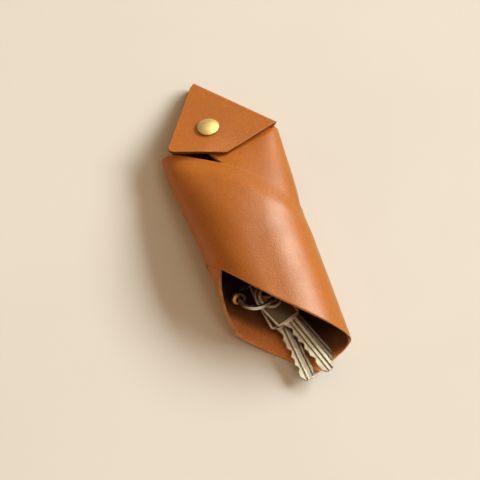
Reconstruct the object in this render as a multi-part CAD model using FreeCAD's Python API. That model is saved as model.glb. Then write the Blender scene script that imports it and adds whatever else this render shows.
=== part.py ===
"""Folded leather key case with a snap flap, a brass eye, a split ring and three keys.

Millimetres. X runs across the case, Y along it from the open mouth to the closed end, Z up.
The case lies on its back panel: the origin is the middle of the flat resting face.
"""
import FreeCAD
import Part
import math
import os

V = FreeCAD.Vector
os.makedirs("parts", exist_ok=True)

# Leather
leather = 1.7
bond_line = 0.15

# Tube sections, on the outer face of the inner case. The side is the height of the widest point,
# the floor and the crown are the half widths of the flat strips below and above, and the shift is
# how far the section's middle lies to the right.
mouth = dict(place=-86.0, half_width=23.5, shift=0.0, height=21.8, side=10.0, floor=8.5, crown=2.0)
waist = dict(place=-20.0, half_width=24.5, shift=0.0, height=22.2, side=10.3, floor=10.0, crown=4.0)
shoulder = dict(place=24.0, half_width=27.6, shift=0.2, height=14.9, side=7.4, floor=13.0, crown=14.0)
nose = dict(place=66.0, half_width=27.5, shift=2.5, height=4.5, side=2.6, floor=19.0, crown=20.0)
bend_steps = 4
rest_trim = 0.05

# Cut lines of the case, as places in plan
tongue_corner = V(-mouth["half_width"], -52.0, 0)
tongue_tip = V(8.0, -81.0, 0)
mouth_lip = V(25.8, -74.0, 0)
liner_setback = 1.0
tongue_low = 6.0
tongue_high = 16.0
tongue_rise_end = -24.0
side_cover = 2.0
right_cover = 1.0
left_wall_end = V(-25.5, 41.0, 0)
floor_lap = 58.0

# Upper right panel that carries the stud
panel_low_left = V(-2.0, 21.0, 0)
panel_low_right = V(40.0, -18.0, 0)
panel_left = V(-14.0, 54.0, 0)
panel_clearance = 1.5

# Outer wrap: its two slanted edges are bows through three places in plan
wrap_top_left = V(-25.5, 42.5, 0)
wrap_left_corner = V(-31.0, 36.5, 0)
wrap_top_middle = V(3.0, 23.0, 0)
wrap_top_right = V(28.5, -6.0, 0)
wrap_mouth_left = V(-28.5, -16.5, 0)
wrap_mouth_middle = V(-3.0, -47.5, 0)
wrap_hem = 1.2

# Fold and flap, as places in plan. The top face of the flap falls towards the closed end.
fold_left = V(-1.0, 80.0, 0)
fold_right = V(29.3, 41.0, 0)
flap_tip = V(1.6, 30.8, 0)
flap_corner = V(-24.0, 41.5, 0)
flap_corner_round = 3.0
flap_low = 5.0
flap_slope = 0.248
fold_inset = 0.7
wall_flat = 35.0
wall_right_low = 4.5
hinge_gap = 0.12

# Snap fastener
snap_place = V(-2.4, 49.0, 0)
snap_gap = 2.2
cap_diameter = 10.5
cap_height = 2.1
cap_rim = 0.6
post_diameter = 3.0
hole_clearance = 0.1
socket_diameter = 8.0
socket_height = 1.5
socket_plate = 0.4
ball_diameter = 3.9
ball_clearance = 0.35
stud_flange = 0.4
stud_diameter = 8.0
stud_bore = 2.0
back_plate = 0.5
seat_margin = 1.2
spring_wire = 0.36
spring_slack = 0.2
spring_opening = 40.0
clinch = 0.2

# Brass eye
eye_place = V(-15.9, -37.8, 8.2)
eye_diameter = 7.0
eye_hole = 3.6
eye_width = 2.4
eye_edge = 0.5
eye_stem = 2.4
eye_lean = 31.9
eye_cap_diameter = 5.2
eye_cap_thickness = 0.8

# Split ring
ring_diameter = 17.4
ring_band = 1.3
ring_layer = 0.8
ring_slit = 0.12
ring_tilt = 26.0
ring_turn = 14.0
ring_joint = 22.0
ring_notch = 9.0

# Keys
key_thickness = 1.6
key_pitch = 1.85
key_tilt = 5.0
key_hole = 8.8
key_hole_offset = 1.4
bow_half = 7.4
neck_half = 6.2
neck_round = 1.2
groove_width = 1.3
groove_depth = 0.45
face_margin = 1.5
face_recess = 0.2
bit_pitch = 4.2
left_key_sizes = dict(bow=20.0, blade=27.5, half=3.6, turn=5.4, level=-1, bits=(1.1, 0.5, 1.4, 0.8, 1.2))
under_key_sizes = dict(bow=14.0, blade=28.0, half=3.4, turn=21.5, level=0, bits=(0.6, 1.3, 0.9, 1.5, 0.7))
right_key_sizes = dict(bow=14.0, blade=29.4, half=3.2, turn=19.0, level=1, bits=(1.4, 0.8, 1.2, 0.5, 1.0))

# Far outside the part, for cutting tools
beyond = 200.0


def bent(share):
    """Section between the waist and the shoulder that runs on smoothly from both neighbours."""
    span = shoulder["place"] - waist["place"]
    station = {"place": waist["place"] + share * span}
    for size in ("half_width", "shift", "height", "side", "floor", "crown"):
        slope_in = (waist[size] - mouth[size]) / (waist["place"] - mouth["place"])
        slope_out = (nose[size] - shoulder[size]) / (nose["place"] - shoulder["place"])
        rise = shoulder[size] - waist[size]
        lean_in = slope_in * span - rise
        lean_out = rise - slope_out * span
        even = waist[size] + share * rise
        station[size] = even + share * (1 - share) * (lean_in * (1 - share) + lean_out * share)
    return station


stations = [mouth, waist] + [bent(step / bend_steps) for step in range(1, bend_steps)] + [shoulder, nose]


def quarter(start, corner, end):
    """Quarter ellipse from start to end whose tangents meet in the corner."""
    curve = Part.BezierCurve()
    curve.setPoles([start, corner, end])
    curve.setWeight(2, math.sqrt(0.5))
    return curve.toShape()


def section(station, grow):
    """Closed outline of the tube at one station, moved outwards by grow."""
    place = station["place"]
    side = station["side"]
    wide = station["half_width"] + grow
    top = station["height"] + grow
    bottom = -rest_trim - grow
    crown = station["crown"]
    floor = station["floor"]

    def at(x, z):
        return V(x + station["shift"], place, z)

    return Part.Wire([
        quarter(at(wide, side), at(wide, top), at(crown, top)),
        Part.LineSegment(at(crown, top), at(-crown, top)).toShape(),
        quarter(at(-crown, top), at(-wide, top), at(-wide, side)),
        quarter(at(-wide, side), at(-wide, bottom), at(-floor, bottom)),
        Part.LineSegment(at(-floor, bottom), at(floor, bottom)).toShape(),
        quarter(at(floor, bottom), at(wide, bottom), at(wide, side)),
    ])


def tube(grow):
    return Part.makeLoft([section(station, grow) for station in stations], True, True)


def shell(outside, inside):
    return tube(outside).cut(tube(inside))


def prism(points, low=-beyond, high=beyond):
    """Upright prism on a plan outline."""
    outline = [V(p.x, p.y, low) for p in points]
    face = Part.Face(Part.makePolygon(outline + outline[:1]))
    return face.extrude(V(0, 0, high - low))


def side_prism(points, from_x, to_x):
    """Prism across the case on an outline given as places along Y and heights."""
    outline = [V(from_x, y, z) for y, z in points]
    face = Part.Face(Part.makePolygon(outline + outline[:1]))
    return face.extrude(V(to_x - from_x, 0, 0))


def below_level(level):
    """Everything under a height."""
    return Part.makeBox(2 * beyond, 2 * beyond, beyond, V(-beyond, -beyond, level - beyond))


def on_line(first, last, y):
    """The place on a line in plan at a given Y."""
    return first + (last - first) * ((y - first.y) / (last.y - first.y))


def bow_edge(first, middle, last):
    return Part.Arc(first, middle, last).toShape()


def straight(first, last):
    return Part.LineSegment(first, last).toShape()


def plan_solid(edges):
    face = Part.Face(Part.Wire(edges))
    face.translate(V(0, 0, -beyond))
    return face.extrude(V(0, 0, 2 * beyond))


# Directions of the fold and of the flap
fold_run = (fold_right - fold_left).normalize()
fold_out = V(-fold_run.y, fold_run.x, 0)
flap_normal = V(0, flap_slope, 1).normalize()


def flap_top(place):
    """The place in plan lifted onto the top face of the flap."""
    return V(place.x, place.y, flap_low + flap_slope * (fold_left.y - place.y))


def above_plane(drop):
    """Everything above a plane that lies a drop below the top face of the flap."""
    base = flap_top(fold_left) - flap_normal * drop
    block = Part.makeBox(2 * beyond, 2 * beyond, beyond, V(-beyond, -beyond, 0))
    block.Placement = FreeCAD.Placement(base, FreeCAD.Rotation(V(0, 0, 1), flap_normal))
    return block


flap_axis_left = flap_top(fold_left) - flap_normal * leather
flap_axis_right = flap_top(fold_right) - flap_normal * leather

# Inner edge lines along the fold
wall_left = fold_left - fold_out * fold_inset
wall_right = fold_right - fold_out * fold_inset
wall_back_left = wall_left - fold_out * leather
panel_edge = wall_back_left - fold_out * panel_clearance

# Snap frame: its origin is on the top face of the flap, its Z is the flap's normal
snap_frame = FreeCAD.Placement(flap_top(snap_place), FreeCAD.Rotation(V(0, 0, 1), flap_normal))
post_radius = post_diameter / 2
ball_radius = ball_diameter / 2
flap_under = -leather
socket_end = flap_under - socket_height
panel_top = flap_under - snap_gap
panel_under = panel_top - leather


def snap_part(shape):
    shape.Placement = snap_frame
    return shape


def disc(radius, low, high):
    return Part.makeCylinder(radius, high - low, V(0, 0, low))


def turned(outline):
    """Solid of revolution about Z from an outline given as radii and heights."""
    points = [V(r, 0, z) for r, z in outline]
    face = Part.Face(Part.makePolygon(points + points[:1]))
    return face.revolve(V(0, 0, 0), V(0, 0, 1), 360)


# Eye frame: the stem stands square on the lower left wall, the hole follows the ring
eye_out = V(-math.sin(math.radians(eye_lean)), 0, -math.cos(math.radians(eye_lean)))
ring_normal = V(0, math.sin(math.radians(ring_tilt)), math.cos(math.radians(ring_tilt)))
ring_rise = V(0, -math.cos(math.radians(ring_tilt)), math.sin(math.radians(ring_tilt)))
ring_radius = (ring_diameter - ring_band) / 2
ring_run = V(1, 0, 0) * math.cos(math.radians(ring_turn)) + ring_rise * math.sin(math.radians(ring_turn))
ring_centre = eye_place + ring_run * ring_radius
eye_radius = eye_diameter / 2


def rod(start, direction, radius, length):
    return Part.makeCylinder(radius, length, start, direction)


eye_line = straight(eye_place, eye_place + eye_out * beyond)
eye_seat = eye_line.common(tube(0)).Length + hole_clearance


def inner_case():
    """Back panel, both side walls, the upper right panel and the wall under the fold."""
    skin = shell(0, -leather)
    lip_run = (mouth_lip - tongue_tip).normalize()
    liner_lip = mouth_lip + V(-lip_run.y, lip_run.x, 0) * liner_setback
    plan = prism([
        V(-beyond, tongue_corner.y, 0),
        tongue_corner,
        tongue_tip,
        liner_lip,
        V(beyond, liner_lip.y, 0),
        V(beyond, wall_right.y, 0),
        wall_right,
        wall_left,
        left_wall_end,
        V(-beyond, left_wall_end.y, 0),
    ])
    shoulder_cover = shoulder["side"] + side_cover
    left = side_prism([
        (-beyond, -beyond),
        (-beyond, tongue_low),
        (tongue_corner.y, tongue_low),
        (tongue_rise_end, tongue_high),
        (shoulder["place"], shoulder_cover),
        (nose["place"], nose["side"]),
        (nose["place"], -beyond),
    ], -beyond, 0)
    right = side_prism([
        (-beyond, -beyond),
        (-beyond, mouth["side"] + right_cover),
        (waist["place"], waist["side"] + right_cover),
        (shoulder["place"], shoulder_cover),
        (nose["place"], nose["side"]),
        (nose["place"], -beyond),
    ], 0, beyond)
    lower = skin.common(plan).common(left.fuse(right))
    along = fold_run * beyond
    panel_plan = prism([panel_low_left, panel_low_right, panel_edge + along,
                        panel_edge, panel_left])
    inside = prism([wall_left - fold_run * beyond, wall_left - fold_out * beyond,
                    wall_right - fold_out * beyond, wall_right + fold_run * beyond])
    panel = skin.common(panel_plan).common(inside)
    floor_end = prism([wall_left, on_line(wall_left, wall_right, floor_lap),
                       on_line(wall_left, left_wall_end, floor_lap)], 0, leather)
    wall_face = Part.Face(Part.makePolygon([
        wall_left,
        wall_left + fold_run * wall_flat,
        wall_right + V(0, 0, wall_right_low),
        wall_right + V(0, 0, beyond),
        wall_left + V(0, 0, beyond),
        wall_left,
    ]))
    wall = wall_face.extrude(fold_out * -leather).cut(above_plane(leather + hinge_gap))
    solid = lower.fuse(panel).fuse(floor_end).fuse(wall).cut(below_level(0))
    seat_radius = stud_diameter / 2 + seat_margin
    room = snap_part(disc(seat_radius, panel_under, panel_top + leather))
    seat = snap_part(disc(seat_radius + bond_line, panel_under, panel_top))
    solid = solid.cut(room).fuse(seat)
    post_hole = snap_part(disc(stud_bore / 2 + hole_clearance, panel_under - leather, panel_top + leather))
    stem_hole = rod(eye_place, eye_out, eye_stem / 2 + hole_clearance, eye_seat + leather)
    return solid.cut(post_hole).cut(stem_hole).removeSplitter()


def outer_wrap():
    """Band over the front and both sides, bonded to the inner case, with slanted edges."""
    skin = shell(bond_line + leather, bond_line)
    right_top = V(beyond, wrap_top_right.y, 0)
    right_mouth = V(beyond, mouth_lip.y, 0)
    left_mouth = V(-beyond, wrap_mouth_left.y, 0)
    left_top = V(-beyond, wrap_left_corner.y, 0)
    front = plan_solid([
        bow_edge(wrap_top_left, wrap_top_middle, wrap_top_right),
        straight(wrap_top_right, right_top),
        straight(right_top, right_mouth),
        straight(right_mouth, mouth_lip),
        bow_edge(mouth_lip, wrap_mouth_middle, wrap_mouth_left),
        straight(wrap_mouth_left, left_mouth),
        straight(left_mouth, left_top),
        straight(left_top, wrap_left_corner),
        straight(wrap_left_corner, wrap_top_left),
    ])
    below = prism([tongue_tip, mouth_lip, right_mouth, V(beyond, wrap_mouth_middle.y, 0),
                   V(tongue_tip.x, wrap_mouth_middle.y, 0)], -beyond, mouth["side"])
    band = skin.common(front.fuse(below))
    return band.cut(below_level(wrap_hem)).removeSplitter()


def flap():
    """Closing flap that folds over the top, with a hole for the cap's post."""
    corner_in = (fold_left - flap_corner).normalize()
    corner_out = (flap_tip - flap_corner).normalize()
    half = corner_in.getAngle(corner_out) / 2
    setback = flap_corner_round / math.tan(half)
    middle = (corner_in + corner_out).normalize()
    bulge = middle * (flap_corner_round / math.sin(half) - flap_corner_round)
    before = flap_top(flap_corner + corner_in * setback)
    after = flap_top(flap_corner + corner_out * setback)
    top_left, top_right, tip = flap_top(fold_left), flap_top(fold_right), flap_top(flap_tip)
    outline = Part.Wire([
        straight(top_left, top_right),
        straight(top_right, tip),
        straight(tip, after),
        bow_edge(after, flap_top(flap_corner + bulge), before),
        straight(before, top_left),
    ])
    plate = Part.Face(outline).extrude(flap_normal * -leather)
    hole = snap_part(disc(post_radius + hole_clearance, -2 * leather, leather))
    return plate.cut(hole)


def snap_cap():
    """Domed brass cap with the post that goes through the flap."""
    radius = cap_diameter / 2
    rise = cap_height - cap_rim
    sphere_radius = (radius ** 2 + rise ** 2) / (2 * rise)
    dome = Part.makeSphere(sphere_radius, V(0, 0, cap_height - sphere_radius))
    head = disc(radius, 0, cap_height).common(dome)
    edge = [e for e in head.Edges if abs(e.BoundBox.ZMax) < cap_rim / 2 and e.Length > radius]
    head = head.makeFillet(cap_rim / 2, edge)
    post = disc(post_radius, flap_under - socket_plate - clinch, cap_rim)
    return snap_part(head.fuse(post).removeSplitter())


def snap_socket():
    """Socket under the flap, with a groove for its ring spring."""
    cavity = ball_radius + ball_clearance
    groove = cavity + spring_wire
    groove_top = socket_end + spring_wire * 2 + spring_slack
    body = disc(socket_diameter / 2, socket_end, flap_under)
    body = body.cut(disc(post_radius + bond_line, socket_end, flap_under))
    body = body.cut(disc(cavity, socket_end, flap_under - socket_plate))
    body = body.cut(disc(groove, groove_top - spring_wire - spring_slack, groove_top))
    return snap_part(body)


def socket_spring():
    """Open wire ring that grips the stud's head."""
    wire_radius = spring_wire / 2
    height = socket_end + spring_wire * 2 + spring_slack - (spring_wire + spring_slack) / 2
    ring_line = ball_radius + ball_clearance + wire_radius - spring_slack / 4
    ring = Part.makeTorus(ring_line, wire_radius, V(0, 0, height))
    wedge = Part.makeCylinder(socket_diameter, 2 * socket_height, V(0, 0, socket_end - socket_height / 2),
                              V(0, 0, 1), spring_opening)
    return snap_part(ring.cut(wedge))


def snap_stud():
    """Stud with a rounded head, seated on the upper right panel."""
    head_top = flap_under - socket_plate - clinch - hole_clearance
    flange_top = panel_top + stud_flange
    neck = ball_radius - ball_clearance
    widest = (head_top + flange_top) / 2 + bond_line
    body = turned([
        (0, panel_top), (stud_diameter / 2, panel_top), (stud_diameter / 2, flange_top),
        (neck, flange_top), (ball_radius, widest), (neck, head_top), (0, head_top),
    ])
    return snap_part(body.cut(disc(stud_bore / 2, panel_top, head_top - stud_flange)))


def stud_post():
    """Back plate under the panel whose stem holds the stud."""
    head_top = flap_under - socket_plate - clinch - hole_clearance
    plate = disc(stud_diameter / 2, panel_under - back_plate, panel_under)
    stem = disc(stud_bore / 2 - hole_clearance / 2, panel_under - back_plate, head_top - 2 * stud_flange)
    return snap_part(plate.fuse(stem).removeSplitter())


def eye_post():
    """Brass eye on a stem that goes through the lower left wall."""
    head = rod(eye_place - ring_rise * (eye_width / 2), ring_rise, eye_radius, eye_width)
    head = head.makeFillet(eye_edge, [e for e in head.Edges if e.Length > eye_diameter * 2])
    stem = rod(eye_place + eye_out * (eye_hole / 2), eye_out, eye_stem / 2,
               eye_seat + eye_cap_thickness / 2 - eye_hole / 2)
    bore = rod(eye_place - ring_rise * eye_width, ring_rise, eye_hole / 2, 2 * eye_width)
    return head.fuse(stem).cut(bore).removeSplitter()


def eye_cap():
    """Flat rivet cap on the outside, over the end of the eye's stem."""
    seat = eye_place + eye_out * eye_seat
    cap = rod(seat, eye_out, eye_cap_diameter / 2, eye_cap_thickness)
    return cap.cut(rod(seat, eye_out, eye_stem / 2 + hole_clearance / 2, eye_cap_thickness / 2))


def split_ring():
    """Two flat turns of spring wire, joined over a short stretch and open beside it."""
    outer = ring_diameter / 2
    inner = outer - ring_band
    height = 2 * ring_layer + ring_slit

    def sector(low, high, start, sweep):
        wedge = Part.makeCylinder(outer, high - low, V(0, 0, low), V(0, 0, 1), sweep)
        wedge.rotate(V(0, 0, 0), V(0, 0, 1), start)
        return wedge.cut(Part.makeCylinder(inner, height * 2, V(0, 0, -height)))

    half = height / 2
    first = sector(-half, -half + ring_layer, ring_joint / 2, 360 - ring_joint - ring_notch)
    second = sector(half - ring_layer, half, ring_joint / 2 + ring_notch, 360 - ring_joint - ring_notch)
    joint = sector(-half, half, -ring_joint / 2, ring_joint)
    ring = first.fuse(second).fuse(joint).removeSplitter()
    ring.rotate(V(0, 0, 0), V(0, 0, 1), 90)
    turn = FreeCAD.Rotation(V(1, 0, 0), -ring_rise, ring_normal, "XZY")
    ring.Placement = FreeCAD.Placement(ring_centre, turn).multiply(ring.Placement)
    return ring


key_normal = V(0, -math.sin(math.radians(key_tilt)), math.cos(math.radians(key_tilt)))


def key_frame(sizes):
    """Placement of a key: its hole hangs on the ring's wire, a pitch apart along the key's normal."""
    along_wire = sizes["level"] * key_pitch / ring_rise.dot(key_normal)
    angle = along_wire / ring_radius
    wire = ring_centre + V(ring_radius * math.cos(angle), 0, 0) + ring_rise * (ring_radius * math.sin(angle))
    lean = FreeCAD.Rotation(V(1, 0, 0), key_tilt)
    turn = FreeCAD.Rotation(V(0, 0, 1), sizes["turn"])
    return FreeCAD.Placement(wire - V(key_hole_offset, 0, 0), lean.multiply(turn))


def key(sizes):
    """Flat key: bow with a hole and a recessed face, blade with a groove and cut bits."""
    bow = sizes["bow"]
    end = bow + sizes["blade"]
    blade_half = sizes["half"]
    bow_outline = Part.Wire([
        straight(V(-neck_half, -bow, 0), V(neck_half, -bow, 0)),
        straight(V(neck_half, -bow, 0), V(bow_half, 0, 0)),
        bow_edge(V(bow_half, 0, 0), V(0, bow_half, 0), V(-bow_half, 0, 0)),
        straight(V(-bow_half, 0, 0), V(-neck_half, -bow, 0)),
    ])
    head = Part.Face(bow_outline).extrude(V(0, 0, key_thickness))
    corners = [e for e in head.Edges if e.BoundBox.ZLength > key_thickness / 2 and e.BoundBox.YMax < -bow / 2]
    head = head.makeFillet(neck_round, corners)
    blade_points = [V(blade_half, -bow + neck_round, 0), V(blade_half, -end + blade_half, 0),
                    V(blade_half / 2, -end, 0), V(-blade_half / 2, -end, 0)]
    for count, depth in reversed(list(enumerate(sizes["bits"]))):
        middle = -bow - (count + 1) * bit_pitch
        blade_points.append(V(-blade_half, middle - bit_pitch / 2, 0))
        blade_points.append(V(-blade_half + depth, middle, 0))
    blade_points.append(V(-blade_half, -bow + neck_round, 0))
    blade = Part.Face(Part.makePolygon(blade_points + blade_points[:1])).extrude(V(0, 0, key_thickness))
    groove = Part.makeBox(groove_width, end, groove_depth, V(0, -end - bow, key_thickness - groove_depth))
    groove.translate(V(0, bow - neck_round, 0))
    blade = blade.cut(groove)
    low = -bow + face_margin
    high = -key_hole / 2 - face_margin
    recess = prism([
        V(-neck_half + face_margin, low, 0), V(neck_half - face_margin, low, 0),
        V(bow_half - face_margin, high, 0), V(-bow_half + face_margin, high, 0),
    ], key_thickness - face_recess, key_thickness)
    solid = head.fuse(blade).cut(recess)
    solid = solid.cut(Part.makeCylinder(key_hole / 2, 3 * key_thickness, V(0, 0, -key_thickness)))
    solid = solid.removeSplitter()
    solid.translate(V(0, 0, -key_thickness / 2))
    solid.Placement = key_frame(sizes).multiply(solid.Placement)
    return solid


pieces = {
    "inner_case": inner_case,
    "outer_wrap": outer_wrap,
    "flap": flap,
    "snap_cap": snap_cap,
    "snap_socket": snap_socket,
    "socket_spring": socket_spring,
    "snap_stud": snap_stud,
    "stud_post": stud_post,
    "eye_post": eye_post,
    "eye_cap": eye_cap,
    "split_ring": split_ring,
    "left_key": lambda: key(left_key_sizes),
    "under_key": lambda: key(under_key_sizes),
    "right_key": lambda: key(right_key_sizes),
}

for name, make in pieces.items():
    shape = make()
    box = shape.BoundBox
    print(name, "solids", len(shape.Solids), "valid", shape.isValid(), "volume", round(shape.Volume, 1),
          "box", [round(v, 1) for v in (box.XMin, box.YMin, box.ZMin, box.XMax, box.YMax, box.ZMax)])
    shape.exportStep("parts/" + name + ".step")

print("flap axis", flap_axis_left, flap_axis_right)
print("ring axis", eye_place, ring_normal)
for sizes in (left_key_sizes, under_key_sizes, right_key_sizes):
    print("key hole", key_frame(sizes).Base, key_normal)
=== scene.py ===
"""Tan leather key case on a cream table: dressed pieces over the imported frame.

Sizes are typed in millimetres and turned into metres where a mesh is made.
"""
import bpy
import math
import numpy as np
from mathutils import Matrix, Vector, noise


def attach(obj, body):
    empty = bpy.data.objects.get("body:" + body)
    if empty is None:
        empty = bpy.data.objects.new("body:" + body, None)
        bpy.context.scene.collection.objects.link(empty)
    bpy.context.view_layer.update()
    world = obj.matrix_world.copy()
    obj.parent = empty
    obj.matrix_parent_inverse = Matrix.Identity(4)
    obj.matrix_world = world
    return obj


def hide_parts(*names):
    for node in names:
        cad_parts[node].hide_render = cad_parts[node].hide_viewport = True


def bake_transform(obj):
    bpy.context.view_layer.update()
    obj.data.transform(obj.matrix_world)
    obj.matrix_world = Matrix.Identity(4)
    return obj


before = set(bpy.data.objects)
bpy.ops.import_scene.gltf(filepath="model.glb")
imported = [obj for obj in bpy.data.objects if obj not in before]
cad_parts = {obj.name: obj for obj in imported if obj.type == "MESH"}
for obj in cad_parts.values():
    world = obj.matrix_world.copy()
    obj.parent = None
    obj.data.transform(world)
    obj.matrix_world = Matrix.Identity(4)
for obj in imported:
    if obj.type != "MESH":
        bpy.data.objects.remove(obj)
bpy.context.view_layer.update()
MM = 0.001

# Leather
LEATHER = 1.7
BOND = 0.15
EDGE_ROUND = 0.32
WAVE = (0.07, 28.0)
FINE_WAVE = (0.02, 6.0)
FINE_WAVE_SEED = 9.1

# Points of a mesh that are taken as one, and edges that are taken as none
SAME_POINT = 0.01
SAME_POINT_FINE = 0.002
SLIVER = 0.005

# The tube it is rolled into: stations along Y, and where it differs from them
MOUTH = dict(place=-86.0, half_width=23.5, shift=0.0, height=21.8, side=10.0, floor=8.5, crown=2.0)
WAIST = dict(place=-20.0, half_width=24.5, shift=0.0, height=22.2, side=10.3, floor=10.0, crown=4.0)
SHOULDER = dict(place=24.0, half_width=27.6, shift=0.2, height=14.9, side=7.4, floor=13.0, crown=14.0)
NOSE = dict(place=66.0, half_width=27.5, shift=2.5, height=4.5, side=2.6, floor=19.0, crown=20.0)
LEAST_HEIGHT = 3.4
LEAST_SIDE = 1.8
CROWN_BULGE = 1.4
LEFT_PRESSED = 1.6
LEFT_SPREAD = 0.6
RIGHT_SWELL = 1.2
FOLD_SWELL = 0.6
LIP_SWELL = 1.0
LIP_ZONE = (-72, -46)

# Back panel, its walls and the panel under the flap: places in plan as (x, y), heights over Y as (y, z)
TONGUE_CORNER = (-23.5, -53.2)
TONGUE_TIP = (8.0, -81.0)
MOUTH_LIP = (25.8, -74.0)
LINER_SETBACK = 0.3
LINER_PARED = 0.5
LEFT_WALL_END = (-25.5, 41.0)
LEFT_END_SHORT = (0.5, 0.4)
LEFT_WALL_STEADY = 58.0
LEFT_WALL_TOP = ((-90.0, 6.0), (-52.0, 6.0), (-24.0, 18.2), (24.0, 9.4), (66.0, 2.6))
RIGHT_WALL_TOP = ((-86.0, 11.0), (-20.0, 11.3), (24.0, 9.4), (66.0, 2.6))
PANEL_LOW_LEFT = (2.0, 17.5)
PANEL_LOW_RIGHT = (26.0, -22.0)
PANEL_LEFT = (-12.5, 50.0)
PANEL_TOP = (3.0, 74.0)
PANEL_SETBACK = 2.65
WALL_SETBACK = 0.45
FOOT_SETBACK = 4.2
CLOSED_ROUND = 9.0
GRID_SPLIT = 1.9

# Depth in the tube, as the painted shade of the flesh side reads it
RIGHT_DEPTH_FROM = 4.0
RIGHT_DEPTH_SHARE = 0.45
CLOSED_DEPTH = 11.0
FLAP_SHADE_DEPTH = 3.0

# Wrap: its edges run through places in plan. A slant is how much of a step along Y leads away from an edge
WRAP_TOP = ((-26.0, 43.2), (3.0, 22.4), (28.5, -9.0))
WRAP_LEFT_CORNER = (-31.0, 42.8)
WRAP_MOUTH = ((25.8, -74.0), (-3.0, -47.5), (-28.5, -16.5))
WRAP_TOP_SPAN = (-30.0, 28.4)
WRAP_MOUTH_SPAN = (-28.4, 25.8)
WRAP_CORNER_ROUND = 1.5
WRAP_SECTIONS = (-15.0, 28.0)
WRAP_HEM = 1.2
HEM_OUT = 0.45
HEM_PARED = 0.7
LIP_PARED = 0.6
WRAP_PARED = 0.3
WRAP_PARED_REACH = 11.0
WRAP_TOP_SLANT = 0.8
WRAP_END_PARED = 0.24
WRAP_END_REACH = 13.0
WRAP_MOUTH_SLANT = 0.7

# Fold and flap
FOLD_LEFT = (-1.0, 80.0)
FOLD_RIGHT = (29.3, 41.0)
CREST_LEFT = (-0.45, 81.1)
CREST_RIGHT = (30.15, 41.2)
FLAP_TIP = (1.1, 31.9)
FLAP_CORNER = (-25.6, 42.0)
FLAP_DROOP = 0.9
FLAP_LOW = 5.0
FLAP_SLOPE = 0.248
FLAP_CORNER_ROUND = 3.6
FLAP_TIP_ROUND = 1.4
DROOP_REACH = 14.0
FOLD_INSET = 0.7
FOLD_ROUND = 0.9
FOLD_ROUND_REACH = 12.0
FOLD_REACH = 2.4
FOOT_SHORT = 2.6
FOOT_GAP = 0.05
CREST_PRESSED = 0.45
FOOT_PRESSED = 0.3
LEAST_PRESSED = 0.5
FOLD_WAVES = 0.2
WALL_ROWS = (0.2, 0.4, 0.6, 0.75, 0.84, 0.9, 0.94, 0.975)


def clear_selection():
    if bpy.context.object and bpy.context.object.mode != "OBJECT":
        bpy.ops.object.mode_set(mode="OBJECT")
    bpy.ops.object.select_all(action="DESELECT")


def only(piece):
    clear_selection()
    piece.select_set(True)
    bpy.context.view_layer.objects.active = piece


def apply_all(piece):
    only(piece)
    for modifier in list(piece.modifiers):
        bpy.ops.object.modifier_apply(modifier=modifier.name)


def merge_doubles(piece, threshold):
    only(piece)
    bpy.ops.object.mode_set(mode="EDIT")
    bpy.ops.mesh.select_all(action="SELECT")
    bpy.ops.mesh.remove_doubles(threshold=threshold)
    bpy.ops.object.mode_set(mode="OBJECT")


def smooth(low, high, value):
    share = np.clip((np.asarray(value, float) - low) / (high - low), 0, 1)
    return share * share * (3 - 2 * share)


# The tube

def tube_sizes(y):
    """Sizes of the tube's section at places along it."""
    y = np.asarray(y, float)
    sizes = {}
    for name in ("half_width", "shift", "height", "side", "floor", "crown"):
        m, w, s, n = (station[name] for station in (MOUTH, WAIST, SHOULDER, NOSE))
        slope_in = (w - m) / (WAIST["place"] - MOUTH["place"])
        slope_out = (n - s) / (NOSE["place"] - SHOULDER["place"])
        span = SHOULDER["place"] - WAIST["place"]
        share = (y - WAIST["place"]) / span
        rise = s - w
        middle = w + share * rise + share * (1 - share) * (
            (slope_in * span - rise) * (1 - share) + (rise - slope_out * span) * share)
        before = w + slope_in * (y - WAIST["place"])
        after = s + slope_out * (y - SHOULDER["place"])
        sizes[name] = np.where(share < 0, before, np.where(share > 1, after, middle))
    sizes["height"] = np.maximum(sizes["height"], LEAST_HEIGHT)
    sizes["side"] = np.maximum(sizes["side"], LEAST_SIDE)
    return sizes


def right_swell(turn, y):
    """How far the right wall of the case stands out, towards the fold and at the lip of the mouth."""
    wall = smooth(1.0, 1.7, turn) * (1 - smooth(2.2, 3.0, turn))
    upper = RIGHT_SWELL * smooth(-18, 8, y) + FOLD_SWELL * smooth(20, 42, y)
    lip = LIP_SWELL * (1 - smooth(*LIP_ZONE, y))
    return wall * upper, wall * lip


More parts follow.
